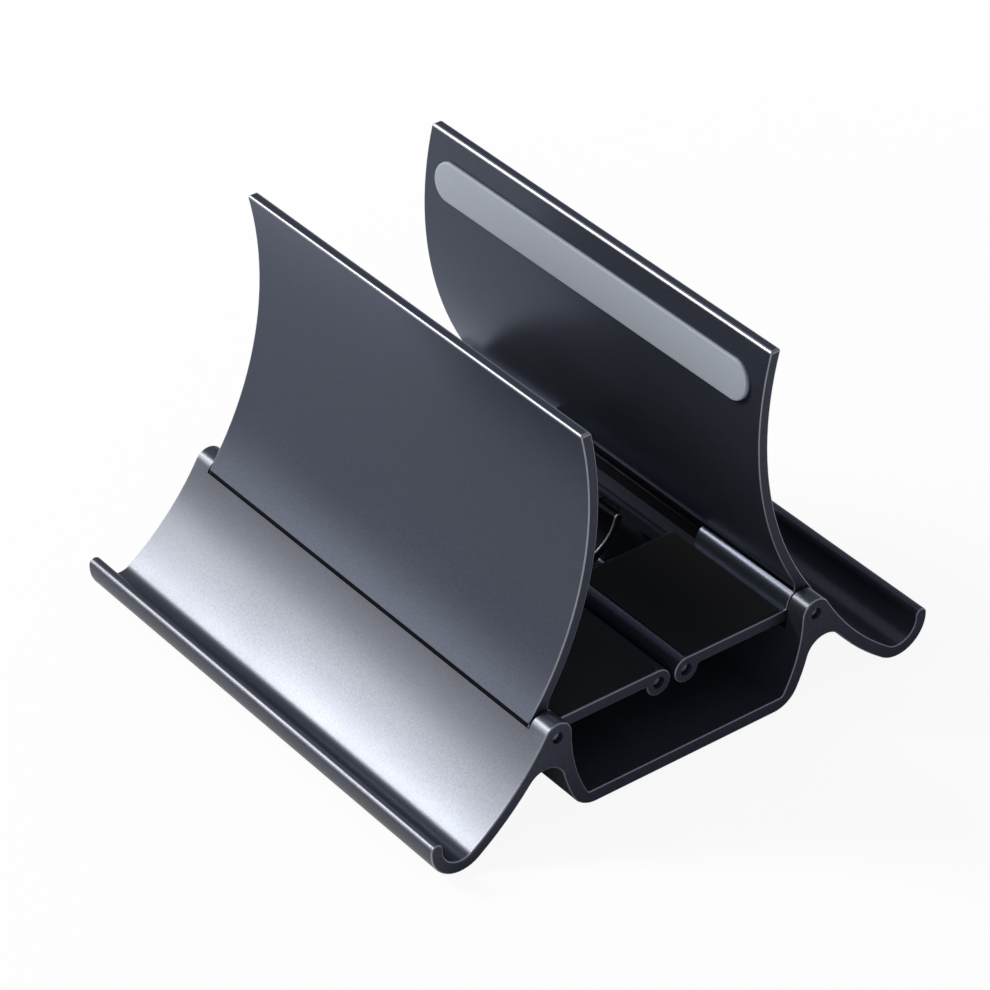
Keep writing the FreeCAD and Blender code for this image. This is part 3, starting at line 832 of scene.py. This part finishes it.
@dataclass
class Clamp:
    """One clamp: wing, barrel and flap in one extrusion, with its cradle, rod, bushes and soft strips.

    The corners of the ridge and the ledge are places in the clamp's section, their x outwards from the
    stand's middle and their y upwards. The gap in the ridge reaches as far forwards as backwards. The
    barrel carries painted shade further out than shade_from and lower than shade_top.
    """

    palette: Palette
    side: Side
    sheet_corner: float = 1.0 * MM
    sheet_rim: float = 0.12 * MM
    sheet_crown: float = 0.01 * MM
    pad_corner: float = 4.85 * MM
    shade_from: float = 38.6 * MM
    shade_top: float = 25.98 * MM
    gap_half: float = 27.7 * MM
    gap_wall: float = 0.1 * MM
    gap_top: float = 28.5 * MM
    ridge_low: Vector = field(default_factory=lambda: Vector((31.4 * MM, 23.41 * MM)))
    ridge_high: Vector = field(default_factory=lambda: Vector((32.62 * MM, 24.7 * MM)))
    ledge_low: Vector = field(default_factory=lambda: Vector((33.5 * MM, 26.15 * MM)))
    ledge_high: Vector = field(default_factory=lambda: Vector((34.7 * MM, 27.4 * MM)))

    def build(self) -> None:
        """Builds and dresses every piece of the clamp."""
        prefix = self.side.prefix
        body = prefix + "_arm"
        mill = EndMill(self.palette)
        rod = (prefix + "_curl_rod",)
        clamp = mill.extrusion(prefix + "_clamp", body, self.palette.shaded_clamp_aluminium, rod, self.refine)
        self.shade_gap(clamp.data)
        # The cradle's long faces take the near-black painted shade, and its bevels a near-white painted
        # highlight.
        cradle = mill.extrusion(prefix + "_stop_cradle", body, self.palette.painted_shade, rod)
        cradle.data.materials[Skin.ARRIS] = self.palette.painted_highlight_edge
        TurnedPin(self.palette).along(prefix + "_curl_rod", body)
        pad = SoftStrip(self.palette.grey_silicone, "grey_silicone", Bed.WING, self.pad_corner)
        pad.lay(prefix + "_wing_pad", self.side, body)
        sheet = SoftStrip(self.palette.black_silicone, "black_silicone", Bed.FLAP, self.sheet_corner,
                          rim=self.sheet_rim, crown=self.sheet_crown)
        for place in ("front", "rear"):
            sheet.lay(f"{prefix}_{place}_flap_sheet", self.side, body)
            dress(f"{prefix}_{place}_bush", self.palette.nylon)

    def refine(self, edit: bmesh.types.BMesh) -> None:
        """Refines the copy of the clamp in two places.

        The barrel's ridge rises from the flap in a plain wall, and the gap in the ridge leaves a level
        ledge up to the wing's foot.

        Args:
            edit: The copy.
        """
        gap_end = self.gap_half + self.gap_wall
        for level in (-gap_end, -self.gap_half, self.gap_half, gap_end):
            bmesh.ops.bisect_plane(edit, geom=[*edit.verts, *edit.edges, *edit.faces], dist=TOUCHING,
                                   plane_co=(0.0, level, 0.0), plane_no=(0.0, 1.0, 0.0))
        for vertex in edit.verts:
            out, up = abs(vertex.co.x), vertex.co.z
            if self.ridge_low.x < out < self.ridge_high.x and self.ridge_low.y < up < self.ridge_high.y:
                out = self.ridge_high.x
            elif (abs(vertex.co.y) < self.gap_half + TOUCHING and self.ledge_low.x < out < self.ledge_high.x
                    and self.ledge_low.y < up < self.ledge_high.y):
                up = self.ledge_low.y
            vertex.co.x = self.side.value * out
            vertex.co.z = up

    def shade_gap(self, mesh: bpy.types.Mesh) -> None:
        """Paints near-black shade on the gap in the ridge and on the barrel below the wing, where the metal
        lies in shade.

        Args:
            mesh: The clamp's finished mesh.
        """
        for face in mesh.polygons:
            out, along, up = abs(face.center.x), abs(face.center.y), face.center.z
            in_gap = (along < self.gap_half + self.gap_wall and self.ridge_low.x < out < self.ledge_high.x
                      and self.ridge_low.y < up < self.gap_top)
            on_barrel = out > self.shade_from and up < self.shade_top
            if in_gap or on_barrel:
                face.material_index = Skin.MILLED


def towards(azimuth: float, elevation: float) -> Vector:
    """Gives the direction from the stand to something round it.

    Args:
        azimuth: Degrees round from the front, positive to the right.
        elevation: Degrees above the ground.

    Returns:
        A vector of length one.
    """
    turn, rise = math.radians(azimuth), math.radians(elevation)
    return Vector((math.sin(turn) * math.cos(rise), -math.cos(turn) * math.cos(rise), math.sin(rise)))


@dataclass
class SoftBox:
    """A square studio lamp that faces the stand: its angles in degrees, its distance and size in metres."""

    name: str
    azimuth: float
    elevation: float
    size: float
    radiance: float
    distance: float = 2.4
    tone: Colour = (1.0, 0.975, 0.90)
    aim: Vector = field(default_factory=lambda: Vector((0.0, 0.0, 40.0 * MM)))

    def hang(self) -> None:
        """Adds the lamp. Its power is its radiance times its area times pi."""
        light = bpy.data.lights.new(self.name, "AREA")
        light.shape = "SQUARE"
        light.size = self.size
        light.color = self.tone
        light.energy = self.radiance * math.pi * self.size ** 2
        lamp = bpy.data.objects.new(self.name, light)
        bpy.context.scene.collection.objects.link(lamp)
        back = towards(self.azimuth, self.elevation)
        lamp.location = self.aim + back * self.distance
        lamp.rotation_euler = (-back).to_track_quat("-Z", "Y").to_euler()
        lamp.visible_camera = False


@dataclass
class Studio:
    """A white floor, an even grey surround and three soft lamps behind the stand on the left.

    The lamps grow brighter upwards, which gives the curved metal its soft gradients.
    """

    lamps: tuple[SoftBox, ...] = field(default_factory=lambda: (
        SoftBox("low_box", azimuth=-129.0, elevation=13.0, size=0.50, radiance=5.0),
        SoftBox("middle_box", azimuth=-136.0, elevation=26.0, size=0.55, radiance=18.0),
        SoftBox("key_box", azimuth=-144.0, elevation=39.0, size=0.56, radiance=42.0)))
    floor_radius: float = 4.0
    first_ring: float = 0.1
    rings: int = 12
    spokes: int = 64
    fade_start: float = 0.16
    fade_end: float = 0.42
    sky: Colour = (0.35, 0.365, 0.41)
    floor_tone: Colour = (0.90, 0.90, 0.90)
    floor_roughness: float = 0.7
    floor_gloss: float = 0.1
    grain: float = 1.2 * MM
    darkest: float = 0.995
    wash: float = 0.92

    def surround(self) -> None:
        """Makes the world, an even soft grey from every side above the floor."""
        world = bpy.data.worlds.new("surround")
        world.use_nodes = True
        bpy.context.scene.world = world
        sky = world.node_tree.nodes["Background"]
        sky.inputs["Color"].default_value = (*self.sky, 1.0)
        sky.inputs["Strength"].default_value = 1.0

    def floor(self) -> None:
        """Lays the floor, a flat disc whose rings lie further apart outwards.

        It keeps the stand's shadow round the stand and passes into plain white further out. Reflections
        show the lit floor near the stand and plain white further out.
        """
        radius = np.concatenate([[0.0], np.geomspace(self.first_ring, self.floor_radius, self.rings)])
        angle = np.linspace(0.0, 2.0 * math.pi, self.spokes, endpoint=False)
        points = np.stack([radius[:, None] * np.cos(angle)[None, :],
                           radius[:, None] * np.sin(angle)[None, :],
                           0.0 * radius[:, None] * angle[None, :]], axis=-1)
        recipe = Recipe("studio_floor")
        recipe.constant(Roughness=self.floor_roughness, Specular_IOR_Level=self.floor_gloss)
        paper = recipe.noise(self.grain, 2.0)
        recipe.tint(paper, scaled(self.floor_tone, self.darkest), self.floor_tone)
        distance = recipe.add("ShaderNodeVectorMath")
        distance.operation = "LENGTH"
        recipe.join(recipe.place, distance.inputs[0])
        near = recipe.ramp(distance.outputs["Value"], self.wash, 1.0, self.fade_start, self.fade_end)
        far = recipe.ramp(distance.outputs["Value"], 0.0, 1.0, self.fade_start, self.fade_end)
        path = recipe.add("ShaderNodeLightPath")
        mirrored = recipe.combine("MAXIMUM", path.outputs["Is Glossy Ray"],
                                  path.outputs["Is Transmission Ray"])
        share = recipe.combine("MAXIMUM", recipe.combine("MULTIPLY", near, path.outputs["Is Camera Ray"]),
                               recipe.combine("MULTIPLY", far, mirrored))
        white = recipe.add("ShaderNodeEmission")
        mix = recipe.add("ShaderNodeMixShader")
        output = next(node for node in recipe.tree.nodes if node.type == "OUTPUT_MATERIAL")
        recipe.join(share, mix.inputs["Fac"])
        recipe.join(recipe.shader.outputs["BSDF"], mix.inputs[1])
        recipe.join(white.outputs["Emission"], mix.inputs[2])
        recipe.join(mix.outputs["Shader"], output.inputs["Surface"])
        sheet = bpy.data.objects.new("floor", surface_mesh("floor", points, recipe.material))
        bpy.context.scene.collection.objects.link(sheet)

    def build(self) -> None:
        """Sets up the whole studio."""
        bpy.context.scene.view_settings.view_transform = "Standard"
        self.surround()
        self.floor()
        for lamp in self.lamps:
            lamp.hang()


@dataclass
class ProductCamera:
    """The camera: a long lens from the front left and above."""

    azimuth: float = -37.997
    elevation: float = 35.415
    roll: float = 0.373
    distance: float = 1.0280
    aim: Vector = field(default_factory=lambda: Vector((-4.82 * MM, -2.22 * MM, 38.37 * MM)))
    lens: float = 167.43
    sensor: float = 36.0
    nearest: float = 0.05
    farthest: float = 20.0

    def build(self) -> None:
        """Adds the camera and makes it the scene's own."""
        data = bpy.data.cameras.new("product_camera")
        data.lens = self.lens
        data.sensor_width = self.sensor
        data.clip_start = self.nearest
        data.clip_end = self.farthest
        camera = bpy.data.objects.new("product_camera", data)
        bpy.context.scene.collection.objects.link(camera)
        back = towards(self.azimuth, self.elevation)
        level = (-back).to_track_quat("-Z", "Y").to_matrix().to_4x4()
        camera.matrix_world = (Matrix.Translation(self.aim + back * self.distance) @ level
                               @ Matrix.Rotation(math.radians(self.roll), 4, "Z"))
        bpy.context.scene.camera = camera


def main() -> None:
    """Builds the camera, the studio and the dressed stand."""
    logging.basicConfig(level=logging.INFO, format="%(message)s")
    ProductCamera().build()
    Studio().build()
    palette = Palette()
    Base(palette).build()
    for side in Side:
        Clamp(palette, side).build()


if __name__ == "__main__":
    main()
